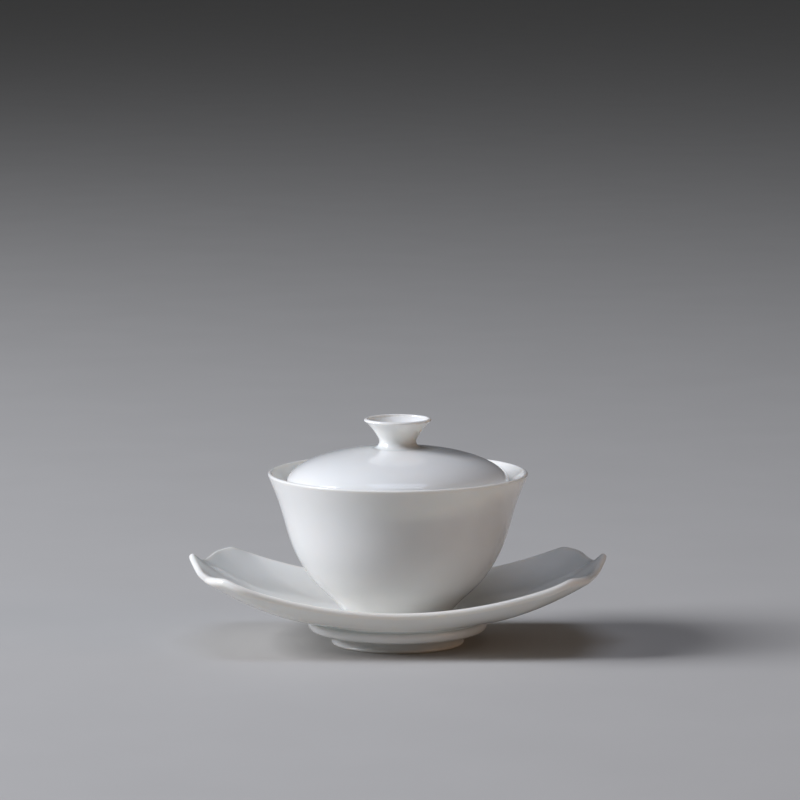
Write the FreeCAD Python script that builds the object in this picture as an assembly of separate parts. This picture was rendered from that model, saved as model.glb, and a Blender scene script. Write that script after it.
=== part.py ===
import FreeCAD, Part
import math
import os

# Gaiwan: a domed lid with a flared knob, a bell-shaped tea bowl, and a boat-shaped saucer.
# Millimetres, +Z up. The origin is the centre of the saucer's foot ring, on the table.
# +X runs along the saucer, towards one raised tip. Every piece is symmetric about XZ and YZ.

# ---- saucer foot ring and step
FOOT_RING_HEIGHT = 5.0
FOOT_RING_RADIUS = 24.3          # outside, at the table
FOOT_RING_TAPER = 1.4            # how much narrower the ring is where it joins the step
FOOT_RING_WALL = 3.4
FOOT_LAND_ROUND = 0.9            # rounding on both edges of the land that touches the table
STEP_RADIUS = 32.8               # the round step between the ring and the plate
STEP_HEIGHT = 4.3
STEP_ROUND = 1.7

# ---- saucer plate
TRAY_LENGTH = 153.1              # tip to tip, before the points are rounded off
TRAY_WIDTH = 81.0
TRAY_SIDE_HEIGHT = 17.6          # rim above the table, halfway along a long side
TRAY_SIDE_RISE = 12.1            # how much higher the rim is at the corners
TRAY_LEVEL_TO_TIP = 14.0         # from the tip to where the rim stops rising along a side
TRAY_TIP_HEIGHT = 33.2
TRAY_DIP_HEIGHT = 28.6           # the rim's low point on the end, between corner and tip
TRAY_DIP_HALF_WIDTH = 16.0       # how far the low point is from the centre line
TRAY_FLOOR_RISE = 4.2            # plate surface at the centre, above the underside of the step
TRAY_SWEEP_RISE = 20.6           # how much the plate itself rises from the centre to a tip
TRAY_SWEEP = 2.3                 # how late the plate curves up towards the tips
TRAY_RIM_ROUND = 1.25            # radius of the rounded rim along the sides and at the tips
TRAY_CORNER_ROUND = 1.60         # the same at the corners, where the plate is thicker
CORNER_SPREAD = 26.0             # how far from a corner the rim gets back to its usual round
TRAY_RIM_LEAN = 52.0             # degrees; where the rim's round runs into the plate's two faces
TRAY_DISH = 2.4                  # how tightly the side of the plate turns up
CORNER_RADIUS = 16.0
CORNER_TO_TIP = 22.7             # from the corner's centre to the tip, along the saucer
END_SLANT = 0.20                 # slope of the end where it leaves the corner
TIP_SLANT = 0.36                 # slope of the end at the tip
END_FULLNESS = 0.35              # how far the end keeps its slope past the corner, as a share of its reach
TIP_FULLNESS = 0.26              # the same, on the way to the tip
WELL_FLOOR_THICKNESS = 3.8
WELL_ROUND = 1.2
SKIN_PAST_WELL = 5.3             # how far the plate's skin runs in past the well's wall, to be cut
SKIN_IN_STEP = 1.3               # how far the plate's underside runs into the step

# ---- bowl
BOWL_HEIGHT = 54.4
BOWL_RIM_RADIUS = 47.5
BOWL_FOOT_RADIUS = 19.4
BOWL_FOOT_HEIGHT = 3.1
BOWL_FOOT_WALL = 2.6
BOWL_FOOT_ROUND = 0.6
BOWL_FOOT_RECESS = 2.0           # depth of the hollow inside the foot
BOWL_FLOOR_RADIUS = 10.7         # nearly flat floor inside the bowl
BOWL_FLOOR_RISE = 0.35           # from the axis to the edge of that floor
BOWL_BASE_WALL = 2.5
BOWL_MID_WALL = 1.9
BOWL_RIM_WALL = 1.4
# Bell shape between foot and rim: (share of the height, share of the growth in radius).
BELL = [(0.0, 0.0), (0.10, 0.175), (0.22, 0.400), (0.35, 0.565), (0.46, 0.668),
        (0.63, 0.771), (0.81, 0.867), (0.925, 0.947)]

# ---- lid
LID_SEAT_DEPTH = 11.8            # lid's edge below the bowl's rim
LID_SKIRT_HEIGHT = 7.7
LID_SKIRT_FLARE = 0.9            # how much wider the edge is than the top of the skirt
LID_DOME_HEIGHT = 13.4
LID_WALL = 2.0

# ---- knob
KNOB_HEIGHT = 10.45              # above the top of the dome
KNOB_LIP_RADIUS = 12.3
KNOB_NECK_RADIUS = 6.75
KNOB_NECK_HEIGHT = 1.75          # above the top of the dome
KNOB_BASE_RADIUS = 8.6
KNOB_SINK = 0.8                  # depth of the turned seat that the knob is luted into
KNOB_LIP_ROUND = 0.75
KNOB_DISH_DEPTH = 6.2
KNOB_DISH_RADIUS = 3.6           # flat bottom of the dish
# Shape of the knob's foot, flare and dish: (share of the height, share of the change in radius).
KNOB_FOOT_CURVE = (0.22, 0.58)
KNOB_FLARE = [(0.0, 0.0), (0.30, 0.16), (0.61, 0.46), (1.0, 1.0)]
KNOB_DISH = [(1.0, 1.0), (0.40, 0.42), (0.06, 0.0)]

# ---- clearances
WELL_CLEARANCE = 1.9             # bowl's foot to the wall of the well
BOWL_SEAT_GAP = 0.05             # bowl's foot above the floor of the well
LID_GAP = 0.30                   # lid's edge to the nearest point inside the bowl

TURN = 360.0
HALVINGS = 40                    # tries when a size is found by halving
ORIGIN = FreeCAD.Vector(0, 0, 0)
UP = FreeCAD.Vector(0, 0, 1)


# ---- curves and solids

def at(radius, height):
    """A point of a turned profile, in the XZ plane."""
    return FreeCAD.Vector(radius, 0, height)


def line(start, end):
    return Part.LineSegment(start, end).toShape()


def arc(start, middle, end):
    return Part.Arc(start, middle, end).toShape()


def spline(points):
    curve = Part.BSplineCurve()
    curve.interpolate(points)
    return curve


def turned(edges):
    """The solid that a closed profile sweeps once round the Z axis."""
    face = Part.Face(Part.Wire(Part.__sortEdges__(edges)))
    return face.revolve(ORIGIN, UP, TURN)


def smooth_step(share):
    share = min(max(share, 0.0), 1.0)
    return share * share * (3.0 - 2.0 * share)


def mix(start, end, share):
    return start + (end - start) * share


def offset_point(curve, share, wall):
    """A point on the curve's left-hand side, a wall away."""
    first, last = curve.FirstParameter, curve.LastParameter
    parameter = mix(first, last, share)
    tangent = curve.tangent(parameter)[0]
    inward = at(-tangent.z, tangent.x)
    return curve.value(parameter) + inward * wall


# ---- saucer

STEP_BOTTOM = FOOT_RING_HEIGHT
STEP_TOP = STEP_BOTTOM + STEP_HEIGHT
WELL_FLOOR = STEP_BOTTOM + WELL_FLOOR_THICKNESS
WELL_RADIUS = BOWL_FOOT_RADIUS + WELL_CLEARANCE
TRAY_FLOOR = STEP_BOTTOM + TRAY_FLOOR_RISE
HALF_LENGTH = TRAY_LENGTH / 2.0
HALF_WIDTH = TRAY_WIDTH / 2.0
CORNER_X = HALF_LENGTH - CORNER_TO_TIP

SPOKES_PER_QUARTER = 28
INNER_CIRCLE = WELL_RADIUS - SKIN_PAST_WELL
UNDER_CIRCLE = STEP_RADIUS - SKIN_IN_STEP

# Where a spoke's points lie: shares of the way in over the plate, degrees round the rim, and shares
# of the way back in below the plate.
TOP_SHARES = (1.0, 0.9, 0.78, 0.66, 0.54, 0.43, 0.33, 0.24, 0.16, 0.09, 0.035)
RIM_DEGREES = (180.0 - TRAY_RIM_LEAN, 95.0, 60.0, 25.0, -10.0, -TRAY_RIM_LEAN)
UNDER_SHARES = (0.06, 0.16, 0.30, 0.48, 0.68, 0.86, 1.0)

# How many times each ring's heights are averaged: the rim keeps its shape, and the plate inside it flows.
EASING = (24, 24, 24, 24, 20, 16, 12, 8, 5, 2, 1) + (0,) * len(RIM_DEGREES) + (1, 4, 8, 14, 20, 24, 24)


def tray_outline():
    """Points round the plate's edge, evenly spaced, starting at the +X tip, seen from above."""
    slant = FreeCAD.Vector(END_SLANT, -1, 0).normalize()
    outward = FreeCAD.Vector(-slant.y, slant.x, 0)
    centre = FreeCAD.Vector(CORNER_X, HALF_WIDTH - CORNER_RADIUS, 0)
    side_end = centre + FreeCAD.Vector(0, CORNER_RADIUS, 0)
    corner_end = centre + outward * CORNER_RADIUS
    corner_middle = centre + (outward + FreeCAD.Vector(0, 1, 0)).normalize() * CORNER_RADIUS
    tip = FreeCAD.Vector(HALF_LENGTH, 0, 0)
    reach = corner_end.y
    end = Part.BezierCurve()
    end.setPoles([corner_end,
                  corner_end + FreeCAD.Vector(END_SLANT, -1, 0) * (END_FULLNESS * reach),
                  tip + FreeCAD.Vector(-TIP_SLANT, 1, 0) * (TIP_FULLNESS * reach),
                  tip])
    quarter = Part.Wire([line(FreeCAD.Vector(0, HALF_WIDTH, 0), side_end),
                         arc(side_end, corner_middle, corner_end),
                         end.toShape()])
    points = quarter.discretize(Number=SPOKES_PER_QUARTER + 1)
    points.reverse()
    back = [FreeCAD.Vector(-p.x, p.y, 0) for p in reversed(points[:-1])]
    half = points + back
    other = [FreeCAD.Vector(p.x, -p.y, 0) for p in reversed(half[1:-1])]
    return half + other


def centre_height(x):
    """Height of the plate's upper face along the centre line."""
    return TRAY_FLOOR + TRAY_SWEEP_RISE * (abs(x) / HALF_LENGTH) ** TRAY_SWEEP


def edge_height(point):
    """Height of the rim: it sweeps up along a side, dips on the end, and rises to a beak at the tip."""
    across = abs(point.y)
    along = min(abs(point.x) / (HALF_LENGTH - TRAY_LEVEL_TO_TIP), 1.0)
    side = TRAY_SIDE_HEIGHT + TRAY_SIDE_RISE * along ** 2
    beak = max(1.0 - across / TRAY_DIP_HALF_WIDTH, 0.0) ** 2
    end = mix(TRAY_DIP_HEIGHT, TRAY_TIP_HEIGHT, beak)
    share = (across - TRAY_DIP_HALF_WIDTH) / (HALF_WIDTH - TRAY_DIP_HALF_WIDTH)
    return mix(end, side, smooth_step(share))


def rim_round(point):
    """Radius of the rim's round at a point of the outline."""
    corner = FreeCAD.Vector(CORNER_X + CORNER_RADIUS * math.sqrt(0.5),
                            HALF_WIDTH - CORNER_RADIUS * (1.0 - math.sqrt(0.5)), 0)
    away = FreeCAD.Vector(abs(point.x), abs(point.y), 0).distanceToPoint(corner)
    return mix(TRAY_CORNER_ROUND, TRAY_RIM_ROUND, smooth_step(away / CORNER_SPREAD))


def tray_spoke(point, inward):
    """One section through the plate: from the well, out over the rim, and back in to the step."""
    lean = math.radians(TRAY_RIM_LEAN)
    size = rim_round(point)
    rim_middle = point + inward * size + UP * (edge_height(point) - size)
    top_start = rim_middle + (inward * math.cos(lean) + UP * math.sin(lean)) * size
    under_start = rim_middle - (inward * math.cos(lean) + UP * math.sin(lean)) * size
    direction = FreeCAD.Vector(point).normalize()
    top_end = direction * INNER_CIRCLE
    under_end = direction * UNDER_CIRCLE
    span = point.Length - INNER_CIRCLE
    overhang = 2.0 * size * math.cos(lean) / span
    under_share = (point.Length - UNDER_CIRCLE) / span
    turn_up = top_start.z - centre_height(top_start.x)

    def top_height(x, share):
        return centre_height(x) + turn_up * (1.0 - share) ** TRAY_DISH

    spoke = []
    for share in TOP_SHARES:
        place = mix(top_start, top_end, share)
        spoke.append(FreeCAD.Vector(place.x, place.y, top_height(place.x, share)))
    for degrees in RIM_DEGREES:
        angle = math.radians(degrees)
        spoke.append(rim_middle + (inward * -math.cos(angle) + UP * math.sin(angle)) * size)
    rim_wall = top_height(under_start.x, -overhang) - under_start.z
    step_wall = top_height(under_end.x, under_share) - STEP_TOP
    for along in UNDER_SHARES:
        place = mix(under_start, under_end, along)
        share = mix(-overhang, under_share, along)
        wall = mix(rim_wall, step_wall, along)
        spoke.append(FreeCAD.Vector(place.x, place.y, top_height(place.x, share) - wall))
    return spoke


def carried(points, around):
    """Control points that carry a cubic surface through the given points."""
    count = len(points)
    result = []
    for index, point in enumerate(points):
        if around or 0 < index < count - 1:
            neighbours = points[index - 1] + points[(index + 1) % count]
            point = point * (4.0 / 3.0) - neighbours * (1.0 / 6.0)
        result.append(point)
    return result


def eased(ring, passes):
    """The ring with its height above the centre line's curve averaged between neighbours."""
    extra = [point.z - centre_height(point.x) for point in ring]
    count = len(ring)
    for _ in range(passes):
        extra = [(extra[index - 1] + 2.0 * extra[index] + extra[(index + 1) % count]) / 4.0
                 for index in range(count)]
    return [FreeCAD.Vector(point.x, point.y, centre_height(point.x) + more)
            for point, more in zip(ring, extra)]


def tray_skin():
    """The plate as one smooth closed skin, with its two hidden ends capped flat."""
    outline = tray_outline()
    count = len(outline)
    spokes = []
    for index, point in enumerate(outline):
        along = outline[(index + 1) % count] - outline[index - 1]
        inward = FreeCAD.Vector(-along.y, along.x, 0).normalize()
        spokes.append(tray_spoke(point, inward))
    rings = [eased(ring, passes) for ring, passes in zip(zip(*spokes), EASING)]
    spokes = [carried(list(spoke), around=False) for spoke in zip(*rings)]
    rings = [carried(list(ring), around=True) for ring in zip(*spokes)]
    for ring in (rings[0], rings[-1]):
        level = sum(point.z for point in ring) / count
        for point in ring:
            point.z = level
    poles = [list(spoke) for spoke in zip(*rings)]
    rows = len(rings)
    surface = Part.BSplineSurface()
    surface.buildFromPolesMultsKnots(poles, [1] * (count + 1), [4] + [1] * (rows - 4) + [4],
                                     list(range(count + 1)), list(range(rows - 2)),
                                     True, False, 3, 3)
    skin = surface.toShape()
    last_row = rows - 3
    caps = [Part.Face(Part.Wire(surface.vIso(level).toShape())) for level in (0, last_row)]
    shell = Part.makeShell([skin] + caps)
    shell.sewShape()
    solid = Part.makeSolid(shell)
    if solid.Volume < 0:
        solid.reverse()
    return solid


def tray_step():
    """The round step below the plate, with rounded edges."""
    round_middle = STEP_ROUND * math.sqrt(0.5)
    low = STEP_BOTTOM + STEP_ROUND
    high = STEP_TOP - STEP_ROUND
    inner = STEP_RADIUS - STEP_ROUND
    return turned([line(at(0, STEP_BOTTOM), at(inner, STEP_BOTTOM)),
                   arc(at(inner, STEP_BOTTOM),
                       at(inner + round_middle, low - round_middle), at(STEP_RADIUS, low)),
                   line(at(STEP_RADIUS, low), at(STEP_RADIUS, high)),
                   arc(at(STEP_RADIUS, high),
                       at(inner + round_middle, high + round_middle), at(inner, STEP_TOP)),
                   line(at(inner, STEP_TOP), at(0, STEP_TOP)),
                   line(at(0, STEP_TOP), at(0, STEP_BOTTOM))])


def well_cutter():
    """What is taken out of the plate to seat the bowl's foot."""
    middle = WELL_ROUND * math.sqrt(0.5)
    inner = WELL_RADIUS - WELL_ROUND
    low = WELL_FLOOR + WELL_ROUND
    top = TRAY_TIP_HEIGHT
    return turned([line(at(0, WELL_FLOOR), at(inner, WELL_FLOOR)),
                   arc(at(inner, WELL_FLOOR), at(inner + middle, low - middle), at(WELL_RADIUS, low)),
                   line(at(WELL_RADIUS, low), at(WELL_RADIUS, top)),
                   line(at(WELL_RADIUS, top), at(0, top)),
                   line(at(0, top), at(0, WELL_FLOOR))])


def saucer_tray():
    return tray_skin().fuse(tray_step()).cut(well_cutter()).removeSplitter()


def saucer_foot_ring():
    """The ring under the step; its flat land is the only part that touches the table."""
    top_outer = FOOT_RING_RADIUS - FOOT_RING_TAPER
    bottom_outer = FOOT_RING_RADIUS - FOOT_LAND_ROUND
    inner = FOOT_RING_RADIUS - FOOT_RING_WALL - FOOT_RING_TAPER
    bottom_inner = inner + FOOT_LAND_ROUND
    middle = FOOT_LAND_ROUND * math.sqrt(0.5)
    top = FOOT_RING_HEIGHT
    flank = spline([at(FOOT_RING_RADIUS, FOOT_LAND_ROUND),
                    at(mix(top_outer, FOOT_RING_RADIUS, 0.35), 0.5 * top),
                    at(top_outer, top)])
    return turned([line(at(bottom_inner, 0), at(bottom_outer, 0)),
                   arc(at(bottom_outer, 0),
                       at(bottom_outer + middle, FOOT_LAND_ROUND - middle),
                       at(FOOT_RING_RADIUS, FOOT_LAND_ROUND)),
                   flank.toShape(),
                   line(at(top_outer, top), at(inner, top)),
                   line(at(inner, top), at(inner, FOOT_LAND_ROUND)),
                   arc(at(inner, FOOT_LAND_ROUND),
                       at(bottom_inner - middle, FOOT_LAND_ROUND - middle),
                       at(bottom_inner, 0))])


# ---- bowl

BOWL_BOTTOM = WELL_FLOOR + BOWL_SEAT_GAP
BOWL_TOP = BOWL_BOTTOM + BOWL_HEIGHT
BELL_BOTTOM = BOWL_BOTTOM + BOWL_FOOT_HEIGHT
RIM_ROUND = BOWL_RIM_WALL / 2.0

# Where the inside is drawn, as shares of the way up the bell curve; the wall is BOWL_MID_WALL at MID_SHARE.
INSIDE_SHARES = (0.12, 0.24, 0.36, 0.50, 0.64, 0.78, 0.90)
MID_SHARE = 0.5


def bowl_outside():
    """The bell curve, from the top of the foot ring to the start of the rim's round."""
    height = BOWL_TOP - RIM_ROUND - BELL_BOTTOM
    growth = BOWL_RIM_RADIUS - BOWL_FOOT_RADIUS
    points = [at(BOWL_FOOT_RADIUS + growth * wide, BELL_BOTTOM + height * high) for high, wide in BELL]
    return spline(points + [at(BOWL_RIM_RADIUS, BELL_BOTTOM + height)])


def bowl_inside():
    """The same curve a wall further in, ending in a nearly flat floor on the axis."""
    outside = bowl_outside()
    floor = BOWL_BOTTOM + BOWL_FOOT_RECESS + BOWL_BASE_WALL
    points = [at(0, floor), at(BOWL_FLOOR_RADIUS, floor + BOWL_FLOOR_RISE)]
    for share in INSIDE_SHARES:
        wall = mix(BOWL_BASE_WALL, BOWL_MID_WALL, share / MID_SHARE)
        if share > MID_SHARE:
            wall = mix(BOWL_MID_WALL, BOWL_RIM_WALL, (share - MID_SHARE) / (1.0 - MID_SHARE))
        points.append(offset_point(outside, share, wall))
    points.append(at(BOWL_RIM_RADIUS - BOWL_RIM_WALL, BOWL_TOP - RIM_ROUND))
    return spline(points)


def reach_inside(height, clear):
    """How far from the axis a point at this height can be, this far clear of the bowl's inner face."""
    face = bowl_inside().toShape()
    near, far = 0.0, BOWL_RIM_RADIUS
    for _ in range(HALVINGS):
        middle = (near + far) / 2.0
        crossing = Part.Edge(line(at(0, height), at(middle, height)))
        blocked = crossing.distToShape(face)[0] < clear
        near, far = (near, middle) if blocked else (middle, far)
    return near


def bowl():
    outside = bowl_outside()
    inside = bowl_inside()
    rim_outer = outside.value(outside.LastParameter)
    rim_inner = inside.value(inside.LastParameter)
    rim_crown = (rim_outer + rim_inner) * 0.5 + UP * RIM_ROUND
    foot_inner = BOWL_FOOT_RADIUS - BOWL_FOOT_WALL
    recess = BOWL_BOTTOM + BOWL_FOOT_RECESS
    low = BOWL_BOTTOM + BOWL_FOOT_ROUND
    land_outer = BOWL_FOOT_RADIUS - BOWL_FOOT_ROUND
    land_inner = foot_inner + BOWL_FOOT_ROUND
    middle = BOWL_FOOT_ROUND * math.sqrt(0.5)
    return turned([outside.toShape(),
                   arc(rim_outer, rim_crown, rim_inner),
                   inside.toShape(),
                   line(at(0, inside.value(inside.FirstParameter).z), at(0, recess)),
                   line(at(0, recess), at(foot_inner, recess)),
                   line(at(foot_inner, recess), at(foot_inner, low)),
                   arc(at(foot_inner, low), at(land_inner - middle, low - middle),
                       at(land_inner, BOWL_BOTTOM)),
                   line(at(land_inner, BOWL_BOTTOM), at(land_outer, BOWL_BOTTOM)),
                   arc(at(land_outer, BOWL_BOTTOM), at(land_outer + middle, low - middle),
                       at(BOWL_FOOT_RADIUS, low)),
                   line(at(BOWL_FOOT_RADIUS, low), at(BOWL_FOOT_RADIUS, BELL_BOTTOM))])


# ---- lid

LID_EDGE = BOWL_TOP - LID_SEAT_DEPTH
LID_SHOULDER = LID_EDGE + LID_SKIRT_HEIGHT
DOME_TOP = LID_SHOULDER + LID_DOME_HEIGHT
LID_EDGE_ROUND = LID_WALL / 2.0
LID_EDGE_RADIUS = LID_EDGE_ROUND + reach_inside(LID_EDGE + LID_EDGE_ROUND, LID_EDGE_ROUND + LID_GAP)
DOME_RADIUS = LID_EDGE_RADIUS - LID_SKIRT_FLARE


def dome_arc(wall):
    """A quarter of an ellipse, from the axis out to the shoulder, a wall inside the dome."""
    wide = DOME_RADIUS - wall
    high = LID_DOME_HEIGHT - wall
    ellipse = Part.Ellipse(at(DOME_RADIUS - wall, LID_SHOULDER), at(0, LID_SHOULDER + high),
                           at(0, LID_SHOULDER))
    start = ellipse.parameter(at(wide, LID_SHOULDER))
    end = ellipse.parameter(at(0, LID_SHOULDER + high))
    if end < start:
        start, end = end, start
    return Part.ArcOfEllipse(ellipse, start, end).toShape()


def knob_seat():
    return Part.makeCylinder(KNOB_BASE_RADIUS, KNOB_SINK + KNOB_HEIGHT, at(0, DOME_TOP - KNOB_SINK))


def lid():
    outer_edge = at(LID_EDGE_RADIUS, LID_EDGE + LID_EDGE_ROUND)
    inner_edge = at(LID_EDGE_RADIUS - LID_WALL, LID_EDGE + LID_EDGE_ROUND)
    edge_bottom = at(LID_EDGE_RADIUS - LID_EDGE_ROUND, LID_EDGE)
    outer_shoulder = at(DOME_RADIUS, LID_SHOULDER)
    inner_shoulder = at(DOME_RADIUS - LID_WALL, LID_SHOULDER)
    cap = turned([dome_arc(0.0),
                  line(outer_shoulder, outer_edge),
                  arc(outer_edge, edge_bottom, inner_edge),
                  line(inner_edge, inner_shoulder),
                  dome_arc(LID_WALL),
                  line(at(0, DOME_TOP - LID_WALL), at(0, DOME_TOP))])
    return cap.cut(knob_seat())


def dome_height(radius):
    return LID_SHOULDER + LID_DOME_HEIGHT * math.sqrt(1.0 - (radius / DOME_RADIUS) ** 2)


def lid_knob():
    seat = DOME_TOP - KNOB_SINK
    skirt = dome_height(KNOB_BASE_RADIUS)
    lip = DOME_TOP + KNOB_HEIGHT - KNOB_LIP_ROUND
    neck = DOME_TOP + KNOB_NECK_HEIGHT
    foot_high, foot_in = KNOB_FOOT_CURVE
    foot = [at(KNOB_BASE_RADIUS, skirt),
            at(mix(KNOB_BASE_RADIUS, KNOB_NECK_RADIUS, foot_in), mix(skirt, neck, foot_high))]
    flare = [at(mix(KNOB_NECK_RADIUS, KNOB_LIP_RADIUS, wide), mix(neck, lip, high))
             for high, wide in KNOB_FLARE]
    outside = spline(foot + flare)
    inner_lip = KNOB_LIP_RADIUS - 2.0 * KNOB_LIP_ROUND
    dish = DOME_TOP + KNOB_HEIGHT - KNOB_DISH_DEPTH
    hollow = spline([at(mix(KNOB_DISH_RADIUS, inner_lip, wide), mix(dish, lip, high))
                     for high, wide in KNOB_DISH] + [at(0, dish)])
    return turned([line(at(0, seat), at(KNOB_BASE_RADIUS, seat)),
                   line(at(KNOB_BASE_RADIUS, seat), at(KNOB_BASE_RADIUS, skirt)),
                   outside.toShape(),
                   arc(at(KNOB_LIP_RADIUS, lip),
                       at(KNOB_LIP_RADIUS - KNOB_LIP_ROUND, lip + KNOB_LIP_ROUND),
                       at(inner_lip, lip)),
                   hollow.toShape(),
                   line(at(0, dish), at(0, seat))])


# ---- one file for each piece

PIECES = {
    "saucer_foot_ring": saucer_foot_ring,
    "saucer_tray": saucer_tray,
    "bowl": bowl,
    "lid": lid,
    "lid_knob": lid_knob,
}

os.makedirs("parts", exist_ok=True)
for name, make in PIECES.items():
    shape = make()
    shape.exportStep("parts/" + name + ".step")
    box = shape.BoundBox
    print(name, "solids", len(shape.Solids), "valid", shape.isValid(), "volume", round(shape.Volume, 1),
          "x", round(box.XMax, 2), "y", round(box.YMax, 2), "z", round(box.ZMin, 2), round(box.ZMax, 2))
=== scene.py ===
# %% [markdown]
# # A white porcelain gaiwan
#
# A gaiwan is a lidded tea bowl on a saucer. This one is fine white porcelain, cast or thrown, trimmed
# on the wheel and dipped in a clear glaze. Only three things come apart in the hand: lid, bowl and
# saucer. This lesson makes each of them as a cage of large quads that a Subdivision Surface modifier
# rounds off, gives them one family of glaze materials, and sets them on a plain studio floor.
#
# The frame that everything is fitted to comes first: it holds the measured solids, which say where each
# piece sits and how far it reaches.

# %% Load the frame
import math

import bpy
import numpy as np
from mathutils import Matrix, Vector


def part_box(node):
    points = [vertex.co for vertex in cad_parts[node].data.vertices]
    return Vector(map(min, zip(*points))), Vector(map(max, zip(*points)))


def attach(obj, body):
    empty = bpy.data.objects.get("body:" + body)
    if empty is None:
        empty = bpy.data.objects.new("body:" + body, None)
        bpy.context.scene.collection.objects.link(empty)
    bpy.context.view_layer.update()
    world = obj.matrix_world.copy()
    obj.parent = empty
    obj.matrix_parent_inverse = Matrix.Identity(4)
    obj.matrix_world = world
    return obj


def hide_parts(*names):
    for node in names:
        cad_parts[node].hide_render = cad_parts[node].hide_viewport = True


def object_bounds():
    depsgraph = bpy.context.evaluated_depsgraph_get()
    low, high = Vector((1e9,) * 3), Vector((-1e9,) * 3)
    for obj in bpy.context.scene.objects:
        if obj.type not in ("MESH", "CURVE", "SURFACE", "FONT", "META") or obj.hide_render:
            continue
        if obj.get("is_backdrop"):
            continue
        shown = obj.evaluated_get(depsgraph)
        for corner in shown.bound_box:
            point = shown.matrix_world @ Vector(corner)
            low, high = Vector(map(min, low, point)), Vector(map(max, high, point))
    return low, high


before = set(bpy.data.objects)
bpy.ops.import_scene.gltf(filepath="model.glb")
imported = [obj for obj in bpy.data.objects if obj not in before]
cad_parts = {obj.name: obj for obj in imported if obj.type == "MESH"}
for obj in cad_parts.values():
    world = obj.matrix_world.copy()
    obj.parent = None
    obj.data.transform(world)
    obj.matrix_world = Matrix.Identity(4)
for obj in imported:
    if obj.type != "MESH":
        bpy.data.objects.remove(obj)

cad_low, cad_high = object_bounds()
print("the whole set is", [round(side * 1000, 1) for side in cad_high - cad_low], "mm")

# %% [markdown]
# ## Working in millimetres
#
# Potters measure in millimetres, and Blender measures in metres. All the sizes below are written in
# millimetres and multiplied by MM once, when a mesh is made. The boxes of the measured solids are read
# in millimetres too, so that every piece starts from where the real one sits.

# %% Sizes that the frame gives
MM = 0.001


def box_mm(node):
    """Lowest and highest corner of a measured solid, in millimetres."""
    low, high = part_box(node)
    return low / MM, high / MM


bowl_low, bowl_high = box_mm("bowl")
lid_low, lid_high = box_mm("lid")
knob_low, knob_high = box_mm("lid_knob")
tray_low, _ = box_mm("saucer_tray")
foot_low, foot_high = box_mm("saucer_foot_ring")

HAIR = 0.04           # keeps the rounded lip inside the box of the measured one

BOWL_RIM_RADIUS = bowl_high.x - HAIR
LID_EDGE_RADIUS = lid_high.x
print("bowl", round(bowl_low.z, 2), "to", round(bowl_high.z, 2), "rim radius", round(BOWL_RIM_RADIUS, 2))

# %% [markdown]
# ## From a line to a skin
#
# A turned pot is a line swept round an axis, so the work is all in the line. Blender can do it with a
# Screw modifier, but then the points on the axis pile up and the saucer, which isn't round, would need
# another way. Here one function takes rings of points, whatever their shape, and joins them with quads.
#
# Each ring also carries how thick the glaze lies there, in millimetres: thin on a lip, where it runs
# off, thick in a corner, where it collects, and none on the ring that the kiln shelf touched. That number
# is stored on the mesh's points as an attribute named glaze, which the materials read later.
#
# A Subdivision Surface pulls in towards the middle of its cage. carried() moves each cage point out by
# just as much as that, so the rounded skin passes through the line that was drawn.

# %% Skins
ROUNDING = 2          # levels of subdivision
TURNED_POINTS = 64    # cage points round a turned piece
AXIS_RING = 1.0       # radius of the smallest ring, which a fan of faces closes on the axis


def carried(points, around):
    """Cage points whose rounded skin passes through the given points."""
    last = len(points) - 1
    cage = []
    for index, point in enumerate(points):
        if around or 0 < index < last:
            beside = points[index - 1] + points[(index + 1) % len(points)]
            point = point * (4 / 3) - beside / 6
        cage.append(point)
    return cage


def skin(name, rings, thickness, closed_line=False):
    """A piece made of rings of points. An open line ends in a point on the axis at both ends."""
    size = len(rings[0])
    lines = [carried(list(line), around=closed_line) for line in zip(*rings)]
    rings = [carried(list(ring), around=True) for ring in zip(*lines)]
    points = [point for ring in rings for point in ring]
    glaze = [mm for mm in thickness for _ in range(size)]
    faces = []
    rows = len(rings)
    for row in range(rows if closed_line else rows - 1):
        here, there = row * size, (row + 1) % rows * size
        for step in range(size):
            after = (step + 1) % size
            faces.append((here + step, here + after, there + after, there + step))
    if not closed_line:
        for start, flip in ((0, True), ((rows - 1) * size, False)):
            middle = len(points)
            ring = points[start:start + size]
            points.append(sum(ring, Vector()) / size)
            glaze.append(glaze[start])
            for step in range(size):
                edge = (start + step, start + (step + 1) % size)
                faces.append((middle, *(reversed(edge) if flip else edge)))
    mesh = bpy.data.meshes.new(name)
    mesh.from_pydata([point * MM for point in points], [], faces)
    layer = mesh.attributes.new("glaze", "FLOAT", "POINT")
    layer.data.foreach_set("value", glaze)
    mesh.shade_smooth()
    piece = bpy.data.objects.new(name, mesh)
    bpy.context.scene.collection.objects.link(piece)
    rounding = piece.modifiers.new("rounding", "SUBSURF")
    rounding.levels = rounding.render_levels = ROUNDING
    graph = bpy.context.evaluated_depsgraph_get()
    rounded = bpy.data.meshes.new_from_object(piece.evaluated_get(graph), depsgraph=graph)
    piece.modifiers.clear()
    piece.data = rounded
    return piece


def turned(name, line, closed_line=False):
    """A piece turned on the wheel from a line of (radius, height, glaze thickness) points."""
    rings = []
    for radius, height, _ in line:
        rings.append([Vector((radius * math.cos(math.tau * step / TURNED_POINTS),
                              radius * math.sin(math.tau * step / TURNED_POINTS),
                              height)) for step in range(TURNED_POINTS)])
    piece = skin(name, rings, [glaze for _, _, glaze in line], closed_line)
    print(name, "is turned from", len(line), "points")
    return piece


# %% [markdown]
# ## Drawing a line
#
# A long curve, such as the bell of a bowl, is drawn the way a boatbuilder draws one: a thin batten is
# bent through a few pins, and it finds the smoothest way by itself. In numbers that is a natural cubic
# spline, so batten() takes a few points and gives back many, evenly spaced. Short rounds, such as a
# lip, are arcs of a circle.

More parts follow.
